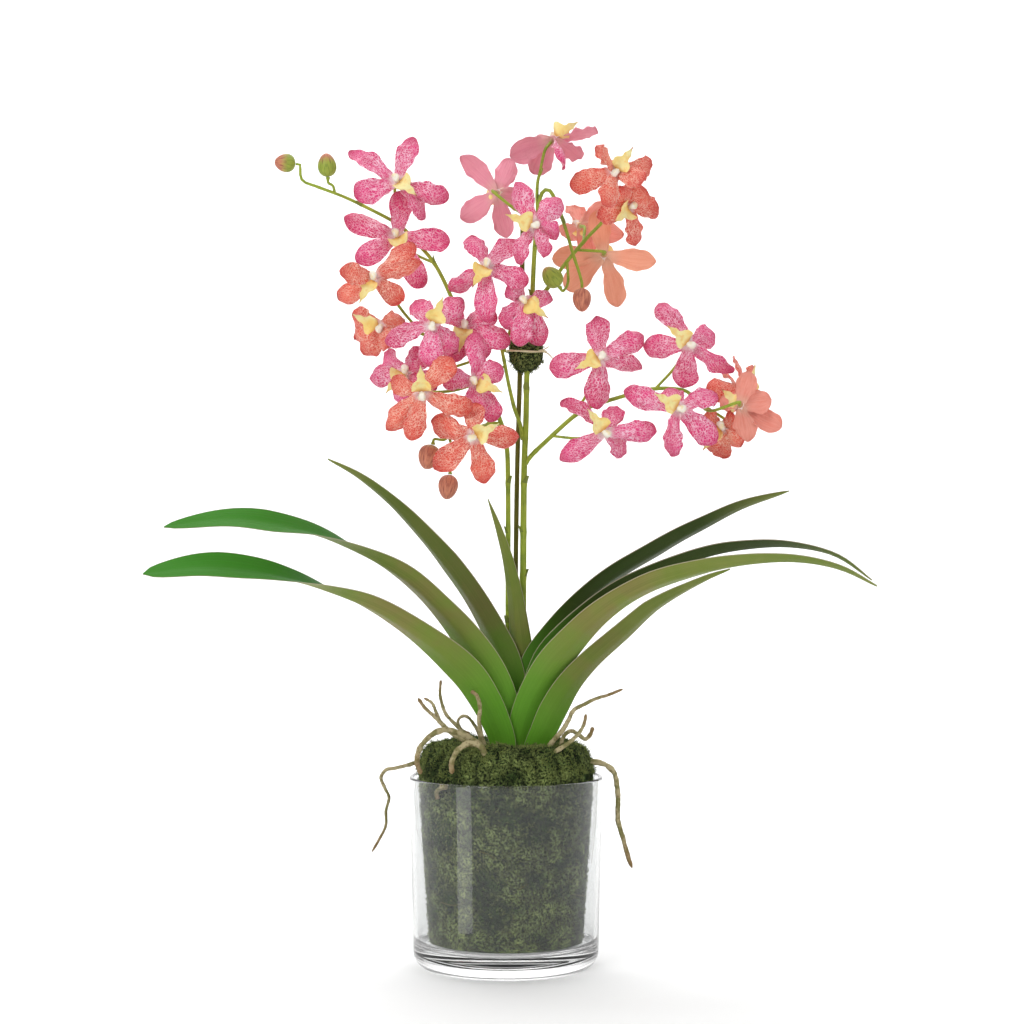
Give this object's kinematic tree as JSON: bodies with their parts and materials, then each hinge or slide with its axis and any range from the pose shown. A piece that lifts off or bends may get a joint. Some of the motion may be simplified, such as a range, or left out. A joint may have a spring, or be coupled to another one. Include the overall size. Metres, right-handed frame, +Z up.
{
  "type": "potted vanda orchid",
  "caption": "Artificial vanda orchid with pink and orange blooms on two stems, arching strap leaves, aerial roots and dark moss in a clear glass cylinder vase",
  "frame": {"origin": "centre of the vase's underside, on the surface that it stands on", "axes": "+Z up along the vase's axis; -Y toward the viewer of the picture, the plant's front; +X to the viewer's right"},
  "size_m": [0.4973, 0.2315, 0.6097],
  "materials": {
    "glass": "clear, polished, thick base",
    "moss": "dark green reindeer moss, matt and fibrous",
    "leaf": "satin strap leaf, olive underside",
    "stem": "satin olive green",
    "stake": "matt brown, olive tint",
    "root": "dry, matt, beige to olive",
    "string": "pale raffia",
    "pink_tepals": "soft satin, pink with pale speckles; cream column, yellow lip",
    "salmon_tepals": "soft satin, salmon back",
    "orange_tepals": "soft satin, red-orange with cream netting; cream column, yellow lip",
    "bud": "satin, green at the stalk and rose-brown at the nose"
  },
  "bodies": {
    "root": {"glass_vase": "glass", "moss_fill": "moss", "moss_tie": "moss", "tie_string": "string", "support_stake": "stake", "flower_stem_right": "stem", "flower_stem_left": "stem", "leaf_left_low": "leaf", "leaf_left_high": "leaf", "leaf_left_upright": "leaf", "leaf_centre": "leaf", "leaf_right_upright": "leaf", "leaf_right_far": "leaf", "leaf_right_front": "leaf", "leaf_right_low": "leaf", "root_arch_left": "root", "root_arch_front": "root", "root_forked": "root", "root_green": "root", "root_hooked": "root", "root_loop": "root", "root_hanging_left": "root", "root_hanging_right": "root", "root_far_right": "root", "root_bent_right": "root", "root_blob_right": "root", "bloom_01": "pink_tepals", "bloom_02": "pink_tepals", "bloom_03": "orange_tepals", "bloom_04": "orange_tepals", "bloom_05": "pink_tepals", "bloom_06": "orange_tepals", "bloom_07": "pink_tepals", "bloom_08": "pink_tepals", "bloom_09": "orange_tepals", "bloom_10": "pink_tepals", "bloom_11": "pink_tepals", "bloom_12": "orange_tepals", "bloom_13": "orange_tepals", "bloom_14": "salmon_tepals", "bloom_15": "orange_tepals", "bloom_16": "pink_tepals", "bloom_17": "pink_tepals", "bloom_18": "pink_tepals", "bloom_19": "pink_tepals", "bloom_20": "pink_tepals", "bloom_21": "pink_tepals", "bloom_22": "pink_tepals", "bloom_23": "pink_tepals", "bloom_24": "orange_tepals", "bloom_25": "orange_tepals", "bloom_26": "orange_tepals", "bud_1": "bud", "bud_2": "bud", "bud_3": "bud", "bud_4": "bud", "bud_5": "bud", "bud_6": "bud"}
  },
  "joints": []
}
